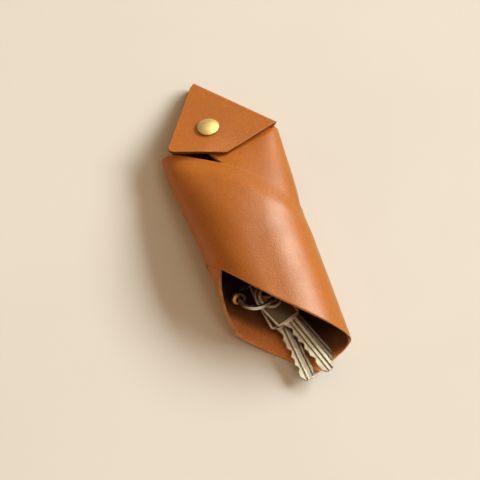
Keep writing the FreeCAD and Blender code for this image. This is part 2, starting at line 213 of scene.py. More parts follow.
def on_tube(turn, y, grow):
    """Points on the tube. The turn is -1 to 1 over the floor, 2 at the right side, 3 to 5 over the
    crown, 6 at the left side and 7 back at the floor. Under the wrap the left side is pressed in
    and the crown bulges a little. Near the mouth the left side stands out."""
    turn = (np.asarray(turn, float) + 1) % 8 - 1
    past_mouth = smooth(-22, 0, y)
    pressed = LEFT_PRESSED * (past_mouth - smooth(12, 34, y)) - LEFT_SPREAD * (1 - past_mouth)
    pressed = pressed * smooth(4.4, 5.6, turn) * (1 - smooth(6.4, 7.0, turn))
    size = tube_sizes(y)
    wide = size["half_width"] + grow
    top = size["height"] + grow
    bottom = -grow
    side, floor, crown = size["side"], size["floor"], size["crown"]
    right_low = (turn - 1) * math.pi / 2
    right_high = (turn - 2) * math.pi / 2
    left_high = (turn - 5) * math.pi / 2
    left_low = (turn - 6) * math.pi / 2
    x = np.select(
        [turn < 1, turn < 2, turn < 3, turn < 5, turn < 6],
        [turn * floor,
         floor + (wide - floor) * np.sin(right_low),
         crown + (wide - crown) * np.cos(right_high),
         crown * (4 - turn),
         -crown - (wide - crown) * np.sin(left_high)],
        -floor - (wide - floor) * np.cos(left_low))
    z = np.select(
        [turn < 1, turn < 2, turn < 3, turn < 5, turn < 6],
        [bottom + 0 * turn,
         side - (side - bottom) * np.cos(right_low),
         side + (top - side) * np.sin(right_high),
         top + 0 * turn,
         side + (top - side) * np.cos(left_high)],
        side - (side - bottom) * np.sin(left_low))
    bulge = CROWN_BULGE * smooth(-30, 8, y) * (1 - smooth(20, 43, y)) * (abs(turn - 4) < 2)
    bulge = bulge * np.maximum(1 - (x / wide) ** 2, 0) ** 4
    return np.stack([x + size["shift"] + pressed, np.broadcast_to(y, np.shape(x)), z + bulge], -1)


def turn_at_height(z, y, grow, left):
    """Turn at which a side wall of the tube has a height."""
    size = tube_sizes(y)
    side, top = size["side"], size["height"] + grow
    high = np.arccos(np.clip((z - side) / (top - side), -1, 1)) / (math.pi / 2)
    low = np.arcsin(np.clip((side - z) / (side + grow), -1, 1)) / (math.pi / 2)
    if left:
        return np.where(z > side, 5 + high, 6 + low)
    return np.where(z > side, 3 - high, 2 - low)


def turn_at_place(x, y, grow):
    """Turn at which the top of the tube has a place across."""
    size = tube_sizes(y)
    wide, crown = size["half_width"] + grow, size["crown"]
    x = x - size["shift"]
    edge = np.arccos(np.clip((x - crown) / (wide - crown), 0, 1)) / (math.pi / 2)
    return np.where(x > crown, 2 + edge, 4 - np.clip(x / crown, -1, 1))


def bow(points, upper):
    """The circle through three places in plan, as Y over X."""
    (ax, ay), (bx, by), (cx, cy) = points
    d = 2 * (ax * (by - cy) + bx * (cy - ay) + cx * (ay - by))
    ux = ((ax**2 + ay**2) * (by - cy) + (bx**2 + by**2) * (cy - ay) + (cx**2 + cy**2) * (ay - by)) / d
    uy = ((ax**2 + ay**2) * (cx - bx) + (bx**2 + by**2) * (ax - cx) + (cx**2 + cy**2) * (bx - ax)) / d
    r2 = (ax - ux) ** 2 + (ay - uy) ** 2
    sign = 1 if upper else -1
    return lambda x: uy + sign * np.sqrt(np.maximum(r2 - (x - ux) ** 2, 0))


def line(first, last):
    """The straight line through two places in plan, as Y over X."""
    slope = (last[1] - first[1]) / (last[0] - first[0])
    return lambda x: first[1] + slope * (x - first[0])


def soft_least(a, b, blend):
    """The lesser of two values, rounded where they are close."""
    h = np.clip(0.5 + 0.5 * (b - a) / blend, 0, 1)
    return b + (a - b) * h - blend * h * (1 - h)


def even_shares(first, last, count, y, grow):
    """Shares between two turns that are the same distance apart on the tube."""
    turn = np.linspace(first, last, 2000)
    points = on_tube(turn, np.full(2000, y), grow)
    steps = np.linalg.norm(np.diff(points, axis=0), axis=1)
    run = np.concatenate([[0], np.cumsum(steps)])
    found = np.interp(np.linspace(0, run[-1], count), run, turn)
    return (found - first) / (last - first)


def settle(turn_of, edge_of, count, grow):
    """Y at which each column of a sheet meets its cut edge."""
    y = np.zeros(count)
    for _ in range(200):
        turn = turn_of(y)
        place = on_tube(turn, y, grow)
        y = 0.5 * y + 0.5 * edge_of(place[:, 0], turn)
    return y


def keep_values(piece, kept):
    """Values for the finish, kept on the points of a mesh."""
    for kind, values in kept.items():
        attribute = piece.data.attributes.new(kind, "FLOAT", "POINT")
        attribute.data.foreach_set("value", np.asarray(values, np.float32).ravel())


def lay_sheet(name, points, kept):
    """A grid primitive laid over rows of points, with values for its finish kept on it."""
    rows, columns = points.shape[:2]
    clear_selection()
    bpy.ops.mesh.primitive_grid_add(x_subdivisions=columns - 1, y_subdivisions=rows - 1, size=1)
    sheet = bpy.context.object
    sheet.name = name
    sheet.data.name = name
    sheet.data.vertices.foreach_set("co", (points * MM).reshape(-1, 3).astype(np.float32).ravel())
    keep_values(sheet, kept)
    sheet.data.update()
    return sheet


def nearest_edge(points, sides):
    """Distance of every grid point to the named sides of its sheet, in millimetres."""
    rows, columns = points.shape[:2]
    best = np.full((rows, columns), 99.0)
    borders = {"low": points[0], "high": points[-1], "first": points[:, 0], "last": points[:, -1]}
    for side in sides:
        border = borders[side]
        for row in range(rows):
            gap = np.linalg.norm(points[row][:, None] - border[None], axis=2).min(1)
            best[row] = np.minimum(best[row], gap)
    return best


def ripple(points, amount, size, seed):
    """Soft unevenness of a hand-worked sheet, as heights for its points."""
    shifted = points / size + seed
    heights = [noise.noise(Vector(p)) for p in shifted.reshape(-1, 3)]
    return amount * np.array(heights).reshape(points.shape[:2])


def grid_normals(points):
    across = np.gradient(points, axis=1)
    along = np.gradient(points, axis=0)
    normal = np.cross(across, along)
    return normal / np.maximum(np.linalg.norm(normal, axis=2, keepdims=True), 1e-9)


def give_thickness(sheet, materials, thin):
    """Leather thickness inwards, rounded cut edges and the three finishes of grain, flesh and cut.
    thin holds the share of the thickness that a pared place keeps."""
    for material in materials:
        sheet.data.materials.append(material)
    pared = sheet.vertex_groups.new(name="pared")
    for number, share in enumerate(thin.ravel()):
        pared.add([number], float(share), "REPLACE")
    merge_doubles(sheet, SAME_POINT * MM)
    solid = sheet.modifiers.new("thickness", "SOLIDIFY")
    solid.thickness = LEATHER * MM
    solid.offset = -1
    solid.vertex_group = "pared"
    solid.material_offset = 1
    solid.material_offset_rim = 2
    round_edges = sheet.modifiers.new("round", "BEVEL")
    round_edges.width = EDGE_ROUND * MM
    round_edges.segments = 3
    round_edges.limit_method = "ANGLE"
    round_edges.angle_limit = math.radians(55)
    round_edges.use_clamp_overlap = False
    apply_all(sheet)
    merge_doubles(sheet, SAME_POINT_FINE * MM)
    bpy.ops.object.shade_smooth()
    return sheet


def wrap_points():
    """The band over the front. Its upper edge and its lower left end are pared, so that they lie down
    on the leather below."""
    rows, columns = 110, 112
    grow = BOND + LEATHER
    upper = bow(WRAP_TOP, True)
    corner = line(WRAP_TOP[0], WRAP_LEFT_CORNER)
    mouth_edge = bow(WRAP_MOUTH, False)
    lip = line(TONGUE_TIP, MOUTH_LIP)
    shares = sum(even_shares(1.5, 6.5, columns, y, grow) for y in WRAP_SECTIONS) / 2

    def turn_of(y):
        right = turn_at_height(WRAP_HEM, y, grow, False)
        left = turn_at_height(WRAP_HEM, y, grow, True)
        return right + (left - right) * shares

    def mouth_cut(x, turn):
        front = mouth_edge(np.clip(x, *WRAP_MOUTH_SPAN))
        return np.where(turn < 2, lip(np.minimum(x, MOUTH_LIP[0])), front)

    def top_cut(x, turn):
        return soft_least(upper(np.clip(x, *WRAP_TOP_SPAN)), corner(x), WRAP_CORNER_ROUND)

    low = settle(turn_of, mouth_cut, columns, grow)
    high = settle(turn_of, top_cut, columns, grow)
    ease = np.linspace(0, 1, rows)[:, None]
    y = low + (high - low) * ease
    turn = np.stack([turn_of(row) for row in y])
    from_top, from_mouth = (high - y) * WRAP_TOP_SLANT, (y - low) * WRAP_MOUTH_SLANT
    upper_edge = (1 - smooth(0, WRAP_PARED_REACH, from_top)) * (1 - smooth(5.0, 6.2, turn))
    left_edge = (1 - smooth(0, WRAP_END_REACH, from_mouth)) * smooth(5.0, 5.7, turn)
    pared = 1 - np.maximum((1 - WRAP_PARED) * upper_edge, (1 - WRAP_END_PARED) * left_edge)
    swell, lip_swell = right_swell(turn, y)
    out = BOND + LEATHER * pared + swell
    at_hem = 1 - smooth(0, 0.4, turn - turn[:, :1])
    at_lip = (1 - smooth(*LIP_ZONE, y)) * (1 - smooth(2.4, 3.4, turn))
    out = out + (swell + lip_swell + HEM_OUT - out) * at_hem
    thin = pared * (1 - LIP_PARED * at_lip) * (1 - HEM_PARED * at_hem)
    return on_tube(turn, y, out), thin


def case_points():
    """Back panel with its walls. The columns run from the top of the left wall down, across the floor,
    up the right wall and over to the panel's left edge. Below and above the turn GRID_SPLIT they have
    their own spacing."""
    rows, low_columns, high_columns = 130, 82, 46
    columns = low_columns + high_columns
    tongue = line(TONGUE_CORNER, TONGUE_TIP)
    lip = line(TONGUE_TIP, MOUTH_LIP)
    slope = (MOUTH_LIP[1] - TONGUE_TIP[1]) / (MOUTH_LIP[0] - TONGUE_TIP[0])
    lip_in = LINER_SETBACK * math.hypot(1, slope)
    fold_length = math.hypot(FOLD_RIGHT[0] - FOLD_LEFT[0], FOLD_RIGHT[1] - FOLD_LEFT[1])
    fold_steep = fold_length / (FOLD_RIGHT[0] - FOLD_LEFT[0])
    fold = line(FOLD_LEFT, FOLD_RIGHT)
    left_end = line(LEFT_WALL_END, np.subtract(FOLD_LEFT, LEFT_END_SHORT))
    low_shares = even_shares(-2.5, GRID_SPLIT, low_columns, 10.0, 0)[:, None]
    high_shares = even_shares(GRID_SPLIT, 4.0, high_columns + 1, 10.0, 0)[1:, None]

    def left_turn(y):
        y = np.minimum(y, LEFT_WALL_STEADY)
        height = np.interp(y, *zip(*LEFT_WALL_TOP))
        return turn_at_height(height, y, 0, True) - 8

    def right_turn(y):
        height = np.interp(y, *zip(*RIGHT_WALL_TOP))
        wall = turn_at_height(height, y, 0, False)
        places = (PANEL_LOW_LEFT, PANEL_LEFT, PANEL_TOP)
        edge = np.interp(y, [p[1] for p in places], [p[0] for p in places])
        rise = smooth(PANEL_LOW_RIGHT[1], PANEL_LOW_LEFT[1], y)
        return wall + (turn_at_place(edge, y, 0) - wall) * rise

    def turn_of(y):
        left = left_turn(y)
        right = right_turn(y)
        low_side = left + (GRID_SPLIT - left) * low_shares
        high_side = GRID_SPLIT + (right - GRID_SPLIT) * high_shares
        return np.diagonal(np.concatenate([low_side, high_side]))

    def mouth_cut(x, turn):
        return np.maximum(tongue(np.maximum(x, TONGUE_CORNER[0])), lip(x) + lip_in)

    def closed_cut(x, turn):
        inset = FOOT_SETBACK - (FOOT_SETBACK - WALL_SETBACK) * smooth(0.9, 1.5, turn)
        inset = inset + (PANEL_SETBACK - WALL_SETBACK) * smooth(2.35, 2.85, turn)
        end = fold(x) - inset * fold_steep
        return soft_least(end, np.maximum(left_end(x), LEFT_WALL_END[1]), CLOSED_ROUND)

    low = settle(turn_of, mouth_cut, columns, 0)
    high = settle(turn_of, closed_cut, columns, 0)
    ease = np.linspace(0, 1, rows)[:, None]
    y = low + (high - low) * ease
    turn = np.stack([turn_of(row) for row in y])
    swell, lip_swell = right_swell(turn, y)
    return on_tube(turn, y, swell + lip_swell), 1 - LINER_PARED * lip_swell


def flap_top(place):
    """A place in plan, raised to the slanted plane of the flap."""
    return np.array([place[0], place[1], FLAP_LOW + FLAP_SLOPE * (FOLD_LEFT[1] - place[1])])


def round_corner(a, b, radius):
    """Pulls a square corner of a sheet in to a quarter circle. a and b are the distances to its sides."""
    x = 1 - np.clip(a / radius, 0, 1)
    y = 1 - np.clip(b / radius, 0, 1)
    inside = (a < radius) & (b < radius)
    new_a = np.where(inside, radius * (1 - x * np.sqrt(1 - y * y / 2)), a)
    new_b = np.where(inside, radius * (1 - y * np.sqrt(1 - x * x / 2)), b)
    return new_a, new_b


def flap_points():
    """Rows run along the fold: up from the floor, round the fold and over to the free edge. The number
    of the first row on the flat of the flap is returned with them."""
    columns = 72
    left, right = flap_top(CREST_LEFT), flap_top(CREST_RIGHT)
    foot_left, foot_right = np.array(FOLD_LEFT), np.array(FOLD_RIGHT)
    corner, tip = flap_top(FLAP_CORNER), flap_top(FLAP_TIP)
    run = (right - left)[:2] / np.linalg.norm((right - left)[:2])
    out = np.array([-run[1], run[0], 0.0])
    share = np.linspace(0, 1, columns)
    closer_at_ends = 0.5 - 0.5 * np.cos(math.pi * share)
    share = 0.85 * share + 0.15 * closer_at_ends
    bend_low, bend_high = 2.5, 1.9
    foot_share = 1 - FOOT_SHORT / np.linalg.norm(foot_right - foot_left)
    length = np.linalg.norm(corner - left)
    width = np.linalg.norm(tip - corner)
    over = np.linspace(0, 1, 76)
    sheet = []
    for along in share:
        fold = left + (right - left) * along
        wall = foot_left + (foot_right - foot_left) * along * foot_share - out[:2] * FOLD_INSET
        size = tube_sizes(wall[1])
        past_floor = wall[0] - size["shift"] - size["floor"]
        reach = np.clip(past_floor / (size["half_width"] - size["floor"]), 0, 1)
        foot = size["side"] * (1 - math.sqrt(max(0.0, 1 - reach**2)))
        low = np.array([wall[0], wall[1], foot])
        start = low - out * (FOOT_SETBACK - FOLD_INSET - FOOT_GAP)
        free = corner + (tip - corner) * along
        down = (free - fold) / np.linalg.norm(free - fold)
        up = (fold - low) / np.linalg.norm(fold - low)
        low_in, low_out = low - out * bend_low, low + up * bend_low
        top_in, top_out = fold - up * bend_high, fold + down * bend_high
        points = [start + (low_in - start) * t for t in np.linspace(0, 1, 3)[:-1]]
        for t in np.linspace(0, 1, 8):
            points.append((1 - t) ** 2 * low_in + 2 * t * (1 - t) * low + t**2 * low_out)
        points += [low_out + (top_in - low_out) * t for t in WALL_ROWS]
        for t in np.linspace(0, 1, 12):
            points.append((1 - t) ** 2 * top_in + 2 * t * (1 - t) * fold + t**2 * top_out)
        points += [top_out + (free - top_out) * t for t in over[1:]]
        sheet.append(points)
    sheet = np.array(sheet).transpose(1, 0, 2)
    rows = len(sheet)
    head = rows - len(over) + 1
    foot_row, crest_row = 6, head - 7
    flat = np.zeros((rows, columns))
    flat[head - 1:] = over[:, None]
    a = np.broadcast_to(share * width, (rows, columns))
    b = (1 - flat) * length
    new_a, new_b = round_corner(a, b, FLAP_CORNER_ROUND)
    turn_a, turn_b = round_corner((1 - share) * width * np.ones((rows, 1)), new_b, FLAP_TIP_ROUND)
    new_a = np.where(share > 0.5, width - turn_a, new_a)
    new_b = np.where(share > 0.5, turn_b, new_b)
    for row in range(head, rows):
        for column in range(columns):
            s = new_a[row, column] / width
            f = 1 - new_b[row, column] / length
            fold = left + (right - left) * s
            free = corner + (tip - corner) * s
            down = (free - fold) / np.linalg.norm(free - fold)
            first = fold + down * bend_high
            sheet[row, column] = first + (free - first) * f
            at_tip = 1 - smooth(0, DROOP_REACH, (1 - s) * width)
            sheet[row, column, 2] -= FLAP_DROOP * at_tip * smooth(0.1, 0.8, f)
    steps = np.linalg.norm(np.diff(sheet[:, 0], axis=0), axis=1)
    from_fold = np.concatenate([[0], np.cumsum(steps)])
    from_fold = from_fold - from_fold[crest_row]
    at_end = np.clip(1 - share * width / FOLD_ROUND_REACH, 0, 1) ** 2
    rounded = FOLD_ROUND * np.exp(-(from_fold / FOLD_REACH) ** 2)[:, None] * at_end
    sheet = sheet + rounded[..., None] * (right - left) / np.linalg.norm(right - left)
    at_crest = np.exp(-(np.linalg.norm(sheet - sheet[crest_row], axis=2) / FOLD_REACH) ** 2)
    at_foot = np.exp(-(np.linalg.norm(sheet - sheet[foot_row], axis=2) / FOLD_REACH) ** 2)
    thin = 1 - CREST_PRESSED * at_crest - FOOT_PRESSED * at_foot
    return sheet, head, np.maximum(thin, LEAST_PRESSED)


def shade_depth_inside(points):
    """How deep in the tube a point is, for the painted shade on the middle of its flesh side."""
    to_right = np.maximum(points[..., 0] - RIGHT_DEPTH_FROM, 0)
    from_mouth = nearest_edge(points, ("low",)) + RIGHT_DEPTH_SHARE * to_right
    return np.minimum(from_mouth, CLOSED_DEPTH + nearest_edge(points, ("high",)))


def leather_piece(name, points, thin, sides, seed, materials, waves=1.0, inside=True):
    """A finished sheet. Its columns are reversed so that its faces look outwards, and waves is the share
    of the unevenness that each point takes."""
    points = points[:, ::-1]
    normal = grid_normals(points)
    wave = ripple(points, *WAVE, seed) + ripple(points, *FINE_WAVE, seed + FINE_WAVE_SEED)
    points = points + normal * (wave * waves)[..., None]
    # Upright faces turned to the right are marked for painted shade on the grain side.
    upright = 1 - smooth(0.4, 0.95, np.abs(normal[..., 2]))
    # The depth kept here sets the flesh side's painted shade; the flap takes one even depth.
    sheet = lay_sheet(name, points, {
        "cut_distance": nearest_edge(points, sides),
        "painted_shade_depth": shade_depth_inside(points) if inside else np.full(points.shape[:2], FLAP_SHADE_DEPTH),
        "side_wear": upright * smooth(-0.1, 0.4, normal[..., 0])})
    return give_thickness(sheet, materials, thin[:, ::-1])


# Shader groups

def new_group(name, inputs, outputs):
    group = bpy.data.node_groups.new(name, "ShaderNodeTree")
    for socket, kind, value in inputs:
        made = group.interface.new_socket(name=socket, in_out="INPUT", socket_type=kind)
        if value is not None:
            made.default_value = value
    for socket, kind in outputs:
        group.interface.new_socket(name=socket, in_out="OUTPUT", socket_type=kind)
    start = group.nodes.new("NodeGroupInput")
    end = group.nodes.new("NodeGroupOutput")
    return group, start, end


def math_node(tree, operation, a, b=None, c=None, clamp=False):
    node = tree.nodes.new("ShaderNodeMath")
    node.operation = operation
    node.use_clamp = clamp
    for socket, value in zip(node.inputs, (a, b, c)):
        if value is None:
            continue
        if hasattr(value, "is_output"):
            tree.links.new(value, socket)
        else:
            socket.default_value = value
    return node.outputs[0]


def mix_colour(tree, share, first, second, mode="MIX"):
    node = tree.nodes.new("ShaderNodeMix")
    node.data_type = "RGBA"
    node.blend_type = mode
    for socket, value in ((node.inputs[0], share), (node.inputs[6], first), (node.inputs[7], second)):
        if hasattr(value, "is_output"):
            tree.links.new(value, socket)
        else:
            socket.default_value = value
    return node.outputs[2]


def ramp(tree, source, stops, smooth_steps=False):
    node = tree.nodes.new("ShaderNodeValToRGB")
    node.color_ramp.interpolation = "EASE" if smooth_steps else "LINEAR"
    while len(node.color_ramp.elements) < len(stops):
        node.color_ramp.elements.new(0.5)
    for element, (place, value) in zip(node.color_ramp.elements, stops):
        element.position = place
        element.color = value if len(value) == 4 else (*value, 1)
    tree.links.new(source, node.inputs[0])
    return node.outputs[0]


def grey(value):
    return (value, value, value, 1)


def texture(tree, kind, place, scale, **settings):
    node = tree.nodes.new(kind)
    for key, value in settings.items():
        if key in node.inputs:
            node.inputs[key].default_value = value
        else:
            setattr(node, key, value)
    tree.links.new(place, node.inputs["Vector"])
    if hasattr(scale, "is_output"):
        tree.links.new(scale, node.inputs["Scale"])
    else:
        node.inputs["Scale"].default_value = scale
    return node


def grain_group():
    """Fine pebble grain, specks and slow tone changes of tanned leather."""
    group, start, end = new_group(
        "leather_grain",
        [("Place", "NodeSocketVector", None), ("Cells per metre", "NodeSocketFloat", 1500.0),
         ("Tone size per metre", "NodeSocketFloat", 45.0)],
        [("Height", "NodeSocketFloat"), ("Tone", "NodeSocketFloat"), ("Speckle", "NodeSocketFloat")])
    place = start.outputs["Place"]
    cells = texture(group, "ShaderNodeTexVoronoi", place, start.outputs["Cells per metre"], feature="F1")
    fine = texture(group, "ShaderNodeTexNoise", place, 5200.0, Detail=3.0, Roughness=0.6)
    tone = texture(group, "ShaderNodeTexNoise", place, start.outputs["Tone size per metre"],
                   Detail=5.0, Roughness=0.55)
    speck = texture(group, "ShaderNodeTexNoise", place, 1350.0, Detail=4.0, Roughness=0.7)
    pebble = math_node(group, "SUBTRACT", 1.0, cells.outputs["Distance"])
    height = math_node(group, "ADD", math_node(group, "MULTIPLY", pebble, 0.65),
                       math_node(group, "MULTIPLY", fine.outputs[0], 0.35))
    group.links.new(height, end.inputs["Height"])
    group.links.new(tone.outputs[0], end.inputs["Tone"])
    group.links.new(speck.outputs[0], end.inputs["Speckle"])
    return group


def scratch_group():
    """Fine brushed lines and blotches of handled metal."""
    group, start, end = new_group(
        "handled_metal",
        [("Place", "NodeSocketVector", None), ("Line size per metre", "NodeSocketFloat", 2500.0),
         ("Stretch", "NodeSocketVector", (1.0, 0.06, 1.0))],
        [("Lines", "NodeSocketFloat"), ("Blotch", "NodeSocketFloat"), ("Scuffs", "NodeSocketFloat")])
    stretch = group.nodes.new("ShaderNodeVectorMath")
    stretch.operation = "MULTIPLY"
    group.links.new(start.outputs["Place"], stretch.inputs[0])
    group.links.new(start.outputs["Stretch"], stretch.inputs[1])
    lines = texture(group, "ShaderNodeTexNoise", stretch.outputs[0], start.outputs["Line size per metre"],
                    Detail=4.0, Roughness=0.65)
    blotch = texture(group, "ShaderNodeTexNoise", start.outputs["Place"], 260.0, Detail=5.0, Roughness=0.6)
    scuffs = texture(group, "ShaderNodeTexVoronoi", stretch.outputs[0], 900.0, feature="DISTANCE_TO_EDGE")
    group.links.new(lines.outputs[0], end.inputs["Lines"])
    group.links.new(blotch.outputs[0], end.inputs["Blotch"])
    marks = math_node(group, "LESS_THAN", scuffs.outputs["Distance"], 0.03)
    group.links.new(marks, end.inputs["Scuffs"])
    return group


GRAIN = grain_group()
HANDLED = scratch_group()


def new_material(name):
    material = bpy.data.materials.new(name)
    material.use_nodes = True
    tree = material.node_tree
    shader = tree.nodes["Principled BSDF"]
    place = tree.nodes.new("ShaderNodeTexCoord").outputs["Object"]
    return material, tree, shader, place


def place_group(tree, group, place, **values):
    node = tree.nodes.new("ShaderNodeGroup")
    node.node_tree = group
    tree.links.new(place, node.inputs["Place"])
    for key, value in values.items():
        node.inputs[key.replace("_", " ")].default_value = value
    return node


def bump(tree, shader, height, strength, distance):
    node = tree.nodes.new("ShaderNodeBump")
    node.inputs["Strength"].default_value = strength
    node.inputs["Distance"].default_value = distance
    tree.links.new(height, node.inputs["Height"])
    tree.links.new(node.outputs[0], shader.inputs["Normal"])


def kept_value(tree, kind):
    node = tree.nodes.new("ShaderNodeAttribute")
    node.attribute_name = kind
    return node.outputs["Fac"]


def grain_side(name, deep, light, shine):
    """Smooth outer face of the leather: satin, darker on the upright faces of the right wall by painted
    shade, and paler at the cut edges by rubbing together with a painted highlight."""
    material, tree, shader, place = new_material(name)
    grain = place_group(tree, GRAIN, place)
    tone = ramp(tree, grain.outputs["Tone"], [(0.3, deep), (0.72, light)], True)
    specks = ramp(tree, grain.outputs["Speckle"], [(0.34, grey(0.92)), (0.50, grey(1.0)), (0.64, grey(1.22))])
    colour = mix_colour(tree, 1.0, tone, specks, "MULTIPLY")
    # Painted shade: the right wall's upright faces are multiplied darker.
    right_painted_shade = mix_colour(tree, 1.0, colour, (0.60, 0.72, 0.76, 1), "MULTIPLY")
    colour = mix_colour(tree, kept_value(tree, "side_wear"), colour, right_painted_shade)
    # Paler near the cut edges: rubbing together with a painted highlight along the edge.
    edge = ramp(tree, math_node(tree, "MULTIPLY", kept_value(tree, "cut_distance"), 0.5),
                [(0.1, grey(0.0)), (0.6, grey(1.0))], True)
    rubbed_and_highlit = mix_colour(tree, 1.0, colour, (1.12, 1.14, 1.2, 1), "MULTIPLY")
    colour = mix_colour(tree, edge, rubbed_and_highlit, colour)
    tree.links.new(colour, shader.inputs["Base Color"])
    rough = ramp(tree, grain.outputs["Tone"], [(0.3, grey(shine + 0.07)), (0.7, grey(shine - 0.04))])
    tree.links.new(rough, shader.inputs["Roughness"])
    shader.inputs["Diffuse Roughness"].default_value = 0.8
    shader.inputs["Specular IOR Level"].default_value = 0.4
    bump(tree, shader, grain.outputs["Height"], 0.5, 0.00014)
    return material


def flesh_side(name, deep, light):
    """Matt inner face with short fibres, darkened with its depth in the tube by painted shade and made paler
    at the mouth by painted light.
    """
    material, tree, shader, place = new_material(name)
    grain = place_group(tree, GRAIN, place, Tone_size_per_metre=90.0)
    tone = ramp(tree, grain.outputs["Tone"], [(0.28, deep), (0.74, light)], True)
    fibre = ramp(tree, grain.outputs["Speckle"], [(0.3, grey(0.72)), (0.55, grey(1.0)), (0.75, grey(1.2))])
    colour = mix_colour(tree, 1.0, tone, fibre, "MULTIPLY")
    depth = math_node(tree, "MULTIPLY", kept_value(tree, "painted_shade_depth"), 0.04)
    # Painted light and shade: paler than its own colour at the mouth's edge, near black deep inside.
    shade = ramp(tree, depth, [(0.0, grey(1.26)), (0.2, grey(1.1)), (0.46, grey(0.27)), (0.85, grey(0.06))],
                 True)
    tree.links.new(mix_colour(tree, 1.0, colour, shade, "MULTIPLY"), shader.inputs["Base Color"])
    rough = ramp(tree, grain.outputs["Speckle"], [(0.3, grey(0.92)), (0.7, grey(0.74))])
    tree.links.new(rough, shader.inputs["Roughness"])
    shader.inputs["Specular IOR Level"].default_value = 0.3
    bump(tree, shader, grain.outputs["Speckle"], 0.5, 0.00025)
    return material


def cut_edge(name, deep, light):
    """Burnished cut edge with its layers of fibre."""
    material, tree, shader, place = new_material(name)
    grain = place_group(tree, GRAIN, place, Tone_size_per_metre=320.0)
    tone = ramp(tree, grain.outputs["Tone"], [(0.3, deep), (0.7, light)], True)
    tree.links.new(tone, shader.inputs["Base Color"])
    rough = ramp(tree, grain.outputs["Speckle"], [(0.3, grey(0.68)), (0.7, grey(0.48))])
    tree.links.new(rough, shader.inputs["Roughness"])
    shader.inputs["Specular IOR Level"].default_value = 0.2
    bump(tree, shader, grain.outputs["Speckle"], 0.4, 0.0002)
    return material


def eye_lit_side(tree, place):
    """1 on the lit left side of the brass eye, fading to 0 across it into the painted shade of its right
    side.
    """
    first, last = -16.4, -18.2
    split = tree.nodes.new("ShaderNodeSeparateXYZ")
    tree.links.new(place, split.inputs[0])
    run = math_node(tree, "SUBTRACT", split.outputs["X"], first * MM)
    return math_node(tree, "DIVIDE", run, (last - first) * MM, clamp=True)


def key_raised_faces(tree, place):
    """1 on the raised faces and edges of a key."""
    return kept_value(tree, "bright_wear")


def handled_metal(name, deep, light, rough_low, rough_high, stretch=(1.0, 0.06, 1.0), size=2500.0,
                  darkened=None):
    """Metal with brushed lines and blotches. dulled is a colour and a mask, 1 where the metal is bright."""
    material, tree, shader, place = new_material(name)
    worn = place_group(tree, HANDLED, place, Line_size_per_metre=size, Stretch=stretch)
    tone = ramp(tree, worn.outputs["Blotch"], [(0.3, deep), (0.65, light)], True)
    lines = ramp(tree, worn.outputs["Lines"], [(0.3, grey(0.86)), (0.7, grey(1.08))])
    if darkened:
        colour, mask = darkened
        tone = mix_colour(tree, mask(tree, place), (*colour, 1), tone)
    tree.links.new(mix_colour(tree, 1.0, tone, lines, "MULTIPLY"), shader.inputs["Base Color"])
    brushed = math_node(tree, "MULTIPLY", worn.outputs["Lines"], rough_high - rough_low)
    scuffed = math_node(tree, "MULTIPLY", worn.outputs["Scuffs"], 0.08)
    rough = math_node(tree, "ADD", math_node(tree, "ADD", brushed, rough_low), scuffed)
    tree.links.new(rough, shader.inputs["Roughness"])
    shader.inputs["Metallic"].default_value = 1.0
    bump(tree, shader, worn.outputs["Lines"], 0.12, 0.00004)
    return material


TAN_GRAIN = grain_side("tan_grain", (0.50, 0.152, 0.012), (0.57, 0.182, 0.018), 0.39)
TAN_FLESH = flesh_side("tan_flesh", (0.64, 0.22, 0.06), (0.76, 0.28, 0.085))
TAN_CUT = cut_edge("tan_cut_edge", (0.46, 0.21, 0.08), (0.62, 0.32, 0.14))
# The flap's cut edges take a darker copy of the cut edge finish: painted shade.
SHADED_CUT = cut_edge("shaded_cut_edge", (0.12, 0.046, 0.014), (0.19, 0.075, 0.024))
TURNED = dict(stretch=(1.0, 0.5, 1.0), size=1800.0)
BRASS = handled_metal("satin_brass", (0.53, 0.38, 0.135), (0.63, 0.475, 0.205), 0.53, 0.67, **TURNED)
# Painted shade: the eye's right side turns near black.
EYE_BRASS = handled_metal("aged_brass", (0.62, 0.42, 0.10), (0.82, 0.60, 0.20), 0.26, 0.42, **TURNED,
                          darkened=((0.10, 0.065, 0.03), eye_lit_side))
# Keys are darker in their milled grooves and sunk panel, and keep their bright tone on raised faces and
# edges.
KEY_METAL = handled_metal("nickel_silver", (0.50, 0.44, 0.345), (0.67, 0.60, 0.495), 0.28, 0.52,
                          darkened=((0.18, 0.145, 0.095), key_raised_faces))
# The key lying under the others takes a darker copy of the key metal: painted shade.
SHADED_KEY_METAL = handled_metal("shaded_nickel_silver", (0.24, 0.205, 0.15), (0.34, 0.295, 0.225), 0.34, 0.56,
                              darkened=((0.10, 0.08, 0.055), key_raised_faces))
RING_STEEL = handled_metal("ring_steel", (0.74, 0.69, 0.58), (0.90, 0.85, 0.74), 0.2, 0.4)
SPRING_STEEL = handled_metal("spring_steel", (0.45, 0.44, 0.42), (0.60, 0.59, 0.56), 0.3, 0.45)
LEATHER_FINISH = (TAN_GRAIN, TAN_FLESH, TAN_CUT)
FLAP_FINISH = (TAN_GRAIN, TAN_FLESH, SHADED_CUT)

# Leather pieces
ALL_SIDES = ("low", "high", "first", "last")
case_sheet, case_thin = case_points()
case = leather_piece("back_and_panel", case_sheet, case_thin, ALL_SIDES, 4.7, LEATHER_FINISH)
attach(case, "case")
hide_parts("inner_case")

wrap_sheet, wrap_thin = wrap_points()
wrap = leather_piece("front_wrap", wrap_sheet, wrap_thin, ALL_SIDES, 4.7, LEATHER_FINISH)
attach(wrap, "case")
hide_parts("outer_wrap")

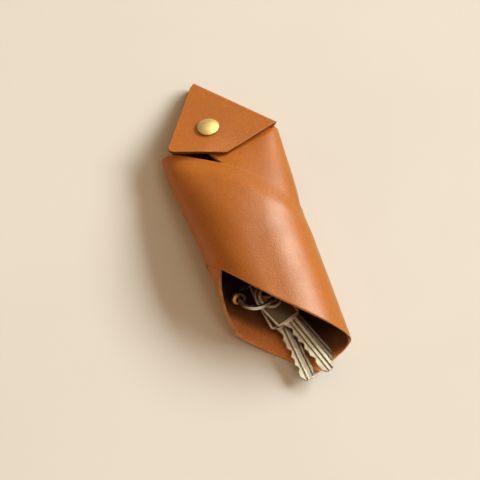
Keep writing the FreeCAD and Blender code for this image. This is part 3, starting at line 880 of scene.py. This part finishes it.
flap_sheet, flap_head, flap_thin = flap_points()
flap_waves = np.ones((len(flap_sheet), 1))
flap_waves[:flap_head] = FOLD_WAVES
flap = leather_piece("folded_flap", flap_sheet, flap_thin, ("high", "first", "last"), 7.9, FLAP_FINISH,
                     waves=flap_waves, inside=False)
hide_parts("flap")
flap_up = np.array([0.0, FLAP_SLOPE, 1.0]) / math.hypot(1, FLAP_SLOPE)
over_flap = np.array([FOLD_RIGHT[1] - FOLD_LEFT[1], FOLD_LEFT[0] - FOLD_RIGHT[0], 0.0])
over_flap = over_flap / np.linalg.norm(over_flap)
over_flap = over_flap - flap_up * (over_flap @ flap_up)
over_flap = over_flap / np.linalg.norm(over_flap)
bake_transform(flap)

# Keys: half a key is laid out as a grid over its face, edge and side wall, then mirrored
KEY_HALF_THICK = 0.8
KEY_CHAMFER = 0.28
KEY_TILT = 5.0
KEY_HOLE = 4.4
BOW_HALF = 7.4
NECK_HALF = 6.2
NECK_ROUND = 1.6
SHOULDER_ROUND = 1.1
BIT_START = 1.2
BIT_PITCH = 4.2
BIT_FLAT = 0.45
BIT_RIDGE = 0.08
FRAME_FROM = 1.7
FRAME_EDGE = (0.95, 1.3)
FRAME_PANEL = 0.3
STEPS_START = (0.2, 1.1)
KEYS = {
    "left_key": dict(
        place=(-2.2273, -36.4280, 7.5308), bow=20.0, blade=27.5, half=3.6, turn=5.4,
        bits=(1.1, 0.5, 1.4, 0.8, 1.2), back_bits=(0.0, 0.5, 0.3, 0.6, 0.2),
        relief=((-9, 0.14), (-1.5, 0.14), (-1.35, 0.5), (-0.75, 0.5), (-0.55, 0.0), (0.25, 0.0), (0.45, 0.34),
                (1.7, 0.34), (1.85, 0.58), (2.25, 0.58), (2.4, 0.26), (9, 0.26))),
    "under_key": dict(
        place=(-1.4391, -39.5504, 9.0537), bow=14.0, blade=28.0, half=3.4, turn=21.5,
        bits=(0.6, 1.3, 0.9, 1.5, 0.7), back_bits=(0.0,) * 5,
        relief=((-9, 0.1), (-0.6, 0.1), (-0.45, 0.5), (0.3, 0.5), (0.45, 0.0), (1.5, 0.0), (1.65, 0.5),
                (2.2, 0.5), (2.35, 0.08), (9, 0.08))),
    "right_key": dict(
        place=(-2.2273, -42.6727, 10.5766), bow=14.0, blade=29.4, half=3.2, turn=19.0,
        bits=(1.4, 0.8, 1.2, 0.5, 1.0), back_bits=(0.0,) * 5,
        relief=((-9, 0.2), (-1.2, 0.2), (-1.05, 0.52), (-0.5, 0.52), (-0.35, 0.16), (0.75, 0.16), (0.9, 0.56),
                (1.45, 0.56), (1.65, 0.0), (9, 0.0))),
}


def key_edges(sizes, y):
    """Left and right edge of a key at places along it: round bow, shoulders, cut blade, tapered tip."""
    bow_end, tip = -sizes["bow"], -sizes["bow"] - sizes["blade"]
    half = sizes["half"]
    bow_round = np.sqrt(np.maximum(BOW_HALF**2 - y**2, 0))
    head = np.where(y > 0, bow_round, BOW_HALF + (BOW_HALF - NECK_HALF) * y / sizes["bow"])
    corner = np.clip((bow_end + NECK_ROUND - y) / NECK_ROUND, 0, 1)
    head = head - NECK_ROUND * (1 - np.sqrt(1 - corner**2))
    shoulder = half + (NECK_HALF - NECK_ROUND - half) * np.clip(1 - (bow_end - y) / SHOULDER_ROUND, 0, 1) ** 2
    width = np.where(y > bow_end, head, shoulder)
    marks = [(bow_end - BIT_START, 0.0)]
    backs = [(bow_end - BIT_START, 0.0)]
    for count, (depth, back) in enumerate(zip(sizes["bits"], sizes["back_bits"])):
        middle = bow_end - (count + 1) * BIT_PITCH
        ridge = middle - BIT_PITCH / 2
        marks += [(middle + BIT_FLAT, depth), (middle - BIT_FLAT, depth), (ridge, BIT_RIDGE)]
        backs += [(middle + 0.9, back), (middle - 0.3, back), (ridge, 0.0)]
    marks = [m for m in marks if m[0] > tip + half * 0.75] + [(tip + half * 0.7, 0.0), (tip, half * 0.55)]
    backs = [m for m in backs if m[0] > tip + half * 1.1] + [(tip + half, 0.0), (tip, half * 0.5)]
    cut = np.interp(-y, [-m[0] for m in marks], [m[1] for m in marks])
    back = np.interp(-y, [-m[0] for m in backs], [m[1] for m in backs])
    return -width + cut, width - back


def key_relief(sizes, x, y):
    """Depth of the face below its highest level: framed panel on the bow, milled steps on the blade."""
    bow_end = -sizes["bow"]
    left, right = key_edges(sizes, np.maximum(y, bow_end + FRAME_FROM))
    side = np.minimum(x - left, right - x)
    frame_gap = np.minimum(np.minimum(side, y - bow_end), np.hypot(x, y) - KEY_HOLE)
    panel = FRAME_PANEL * smooth(*FRAME_EDGE, frame_gap) * (y > bow_end)
    steps = np.interp(x, [p[0] for p in sizes["relief"]], [p[1] for p in sizes["relief"]])
    blade = steps * smooth(*STEPS_START, bow_end - y)
    return panel + blade


def key_piece(name, sizes, metal):
    """A key from its bow to its tip, with rows of points closer together at the shoulders."""
    shoulder, tip = -sizes["bow"], -sizes["bow"] - sizes["blade"]
    steps = np.concatenate([
        np.linspace(BOW_HALF, shoulder + 2.2, 70),
        np.linspace(shoulder + 2.0, shoulder - 1.8, 34),
        np.linspace(shoulder - 2.0, tip, 120)])
    step_edges = [p[0] for p in sizes["relief"] if abs(p[0]) < BOW_HALF]
    frame_edges = [-6.3, -6.0, 6.0, 6.3]
    spread = np.unique(np.concatenate([np.linspace(-BOW_HALF, BOW_HALF, 61), step_edges, frame_edges]))
    rows, brightness_rows = [], []
    for y in steps:
        left, right = (float(v) for v in key_edges(sizes, np.array(y)))
        middle = (left + right) / 2
        face = np.clip(spread, min(left + KEY_CHAMFER, middle), max(right - KEY_CHAMFER, middle))
        x = np.concatenate([[left, left], face, [right, right]])
        relief = key_relief(sizes, x, np.full(len(x), y))
        height = KEY_HALF_THICK - relief
        low = np.minimum(height, KEY_HALF_THICK - KEY_CHAMFER)
        z = np.concatenate([[0, low[1]], height[2:-2], [low[-2], 0]])
        bright = 1 - (smooth(0.1, 0.62, relief) if y < shoulder else smooth(0.02, 0.3, relief))
        bright[[0, 1, -2, -1]] = (0.5, 1.0, 1.0, 0.5)
        rows.append(np.stack([x, np.full(len(x), y), z], 1))
        brightness_rows.append(bright)
    rows = [rows[0] * (1, 1, 0)] + rows + [rows[-1] * (1, 1, 0)]
    brightness_rows = [brightness_rows[0]] + brightness_rows + [brightness_rows[-1]]
    piece = lay_sheet(name, np.array(rows)[::-1], {"bright_wear": np.array(brightness_rows)[::-1]})
    merge_doubles(piece, SAME_POINT * MM)
    bpy.ops.object.mode_set(mode="EDIT")
    bpy.ops.mesh.select_all(action="SELECT")
    bpy.ops.mesh.dissolve_degenerate(threshold=SLIVER * MM)
    bpy.ops.object.mode_set(mode="OBJECT")
    mirror = piece.modifiers.new("both_faces", "MIRROR")
    mirror.use_axis = (False, False, True)
    mirror.merge_threshold = SAME_POINT * MM
    bpy.ops.object.modifier_apply(modifier=mirror.name)
    bpy.ops.mesh.primitive_cylinder_add(vertices=72, radius=KEY_HOLE * MM, depth=0.01)
    punch = bpy.context.object
    only(piece)
    hole = piece.modifiers.new("hole", "BOOLEAN")
    hole.operation = "DIFFERENCE"
    hole.object = punch
    bpy.ops.object.modifier_apply(modifier=hole.name)
    bpy.data.objects.remove(punch)
    only(piece)
    turn = Matrix.Rotation(math.radians(sizes["turn"]), 4, "Z")
    lean = Matrix.Rotation(math.radians(KEY_TILT), 4, "X") @ turn
    piece.matrix_world = Matrix.Translation(Vector(sizes["place"]) * MM) @ lean
    bpy.ops.object.transform_apply(location=True, rotation=True, scale=True)
    bpy.ops.object.shade_smooth_by_angle(angle=math.radians(28))
    piece.data.materials.append(metal)
    return piece


for node, sizes in KEYS.items():
    key = key_piece("dressed_" + node, sizes, SHADED_KEY_METAL if node == "under_key" else KEY_METAL)
    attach(key, node)
    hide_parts(node)

# Snap cap: post, undercut and rolled rim of its profile as (radius, height), then the dome
CAP_RADIUS = 5.25
CAP_TOP = 2.1
CAP_RIM = 1.0
CAP_DOME = 5.14
CAP_FLAT = 0.12
CAP_PLACE = (-2.4, 49.0)
CAP_PROFILE = [(1.3, -2.3), (1.5, -2.1), (1.5, -0.1), (4.4, 0.0), (4.5, 0.25), (4.8, 0.33), (5.12, 0.4),
               (5.22, 0.52), (5.25, 0.66), (5.25, 0.82), (5.2, 0.93)]
for share in np.linspace(0.02, 1, 14):
    reach = CAP_DOME * math.cos(share * math.pi / 2) + CAP_FLAT
    CAP_PROFILE.append((reach, CAP_RIM + (CAP_TOP - CAP_RIM) * (1 - (reach / CAP_RADIUS) ** 2)))


def turned_piece(name, profile, place, up, material):
    """A round piece drawn up ring by ring along its profile."""
    clear_selection()
    bpy.ops.mesh.primitive_circle_add(vertices=96, radius=profile[0][0] * MM, fill_type="NGON",
                                      location=(0, 0, profile[0][1] * MM))
    piece = bpy.context.object
    piece.name = piece.data.name = name
    bpy.ops.object.transform_apply(location=True)
    bpy.ops.object.mode_set(mode="EDIT")
    bpy.ops.mesh.select_all(action="SELECT")
    for (old_radius, old_height), (radius, height) in zip(profile, profile[1:]):
        bpy.ops.mesh.extrude_region_move(TRANSFORM_OT_translate={"value": (0, 0, (height - old_height) * MM)})
        share = radius / old_radius
        bpy.ops.transform.resize(value=(share, share, 1), center_override=(0, 0, height * MM))
    bpy.ops.mesh.select_all(action="SELECT")
    bpy.ops.mesh.normals_make_consistent(inside=False)
    bpy.ops.object.mode_set(mode="OBJECT")
    piece.rotation_mode = "QUATERNION"
    piece.rotation_quaternion = Vector(up).to_track_quat("Z", "Y")
    piece.location = Vector(place) * MM
    bpy.ops.object.transform_apply(location=True, rotation=True)
    bpy.ops.object.shade_smooth_by_angle(angle=math.radians(50))
    piece.data.materials.append(material)
    return piece


cap = turned_piece("domed_cap", CAP_PROFILE, flap_top(CAP_PLACE), (0.0, FLAP_SLOPE, 1.0), BRASS)
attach(cap, "flap")
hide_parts("snap_cap")

# Metal nodes that keep their shape
KEPT_NODES = dict(snap_socket=BRASS, snap_stud=BRASS, stud_post=BRASS, eye_post=EYE_BRASS, eye_cap=BRASS,
                  socket_spring=SPRING_STEEL, split_ring=RING_STEEL)
for node, material in KEPT_NODES.items():
    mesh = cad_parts[node].data
    mesh.materials.clear()
    mesh.materials.append(material)

# Table and light
clear_selection()
TABLE_DROP = 0.2
bpy.ops.mesh.primitive_plane_add(size=6.0, location=(0, 0, -TABLE_DROP * MM))
table = bpy.context.object
table.name = "table_top"
material, tree, shader, place = new_material("cream_table")
soft = texture(tree, "ShaderNodeTexNoise", place, 9.0, Detail=3.0, Roughness=0.5)
cream = ramp(tree, soft.outputs[0], [(0.3, (0.757, 0.736, 0.667)), (0.7, (0.777, 0.756, 0.687))], True)
tree.links.new(cream, shader.inputs["Base Color"])
shader.inputs["Roughness"].default_value = 0.8
shader.inputs["Specular IOR Level"].default_value = 0.2
table.data.materials.append(material)


def area_light(name, direction, distance, size, power, colour, height=None):
    """A disc, or a rectangle if it has a height, that looks at the middle of the part."""
    data = bpy.data.lights.new(name, "AREA")
    data.shape = "RECTANGLE" if height else "DISK"
    data.size = size
    if height:
        data.size_y = height
    data.energy = power
    data.color = colour
    lamp = bpy.data.objects.new(name, data)
    bpy.context.collection.objects.link(lamp)
    direction = Vector(direction).normalized()
    lamp.location = direction * distance
    lamp.rotation_mode = "QUATERNION"
    lamp.rotation_quaternion = direction.to_track_quat("Z", "Y")
    return lamp


key_light = area_light("key_light", direction=(0.8905, 0.086, 0.446), distance=8.0, size=6.0, height=2.2,
                       power=1050.0, colour=(0.98, 1.0, 0.99))
key_light.visible_glossy = False
area_light("front_fill", direction=(0.35, -0.45, 0.82), distance=2.4, size=1.0,
           power=5.0, colour=(1.0, 0.97, 0.93))
sheen_card = area_light("sheen_card", direction=(0.57, 0.40, 0.72), distance=1.2, size=0.60,
                        power=21.5, colour=(0.9, 0.98, 0.89))
sheen_card.visible_diffuse = False
top_card = area_light("top_card", direction=(0.15, 0.28, 0.95), distance=1.6, size=1.4,
                      power=2.6, colour=(1.0, 0.96, 0.82))
top_card.visible_diffuse = False
world = bpy.data.worlds.new("studio")
bpy.context.scene.world = world
world.use_nodes = True
world.node_tree.nodes["Background"].inputs["Color"].default_value = (0.37, 0.235, 0.125, 1)
world.node_tree.nodes["Background"].inputs["Strength"].default_value = 1.0
bpy.context.scene.view_settings.view_transform = "Standard"

# Camera: its lens is worked out in pixels of the photo, its aim in metres
PHOTO_SIDE = 480.0
FOCAL_PIXELS = 1397.5
SENSOR = 36.0
CAMERA_AIM = (-0.0064, -0.011, 0.010)
CAMERA_DISTANCE = 0.650
CAMERA_AZIMUTH = math.radians(-18.5)
CAMERA_ELEVATION = math.radians(65.0)
camera_data = bpy.data.cameras.new("photo_camera")
camera_data.sensor_width = SENSOR
camera_data.lens = FOCAL_PIXELS / PHOTO_SIDE * SENSOR
camera = bpy.data.objects.new("photo_camera", camera_data)
bpy.context.collection.objects.link(camera)
level = math.cos(CAMERA_ELEVATION)
back = Vector((math.sin(CAMERA_AZIMUTH) * level, -math.cos(CAMERA_AZIMUTH) * level,
               math.sin(CAMERA_ELEVATION)))
camera.location = Vector(CAMERA_AIM) + back * CAMERA_DISTANCE
camera.rotation_mode = "QUATERNION"
camera.rotation_quaternion = back.to_track_quat("Z", "Y")
camera_data.clip_start, camera_data.clip_end = 0.01, 20.0
bpy.context.scene.camera = camera
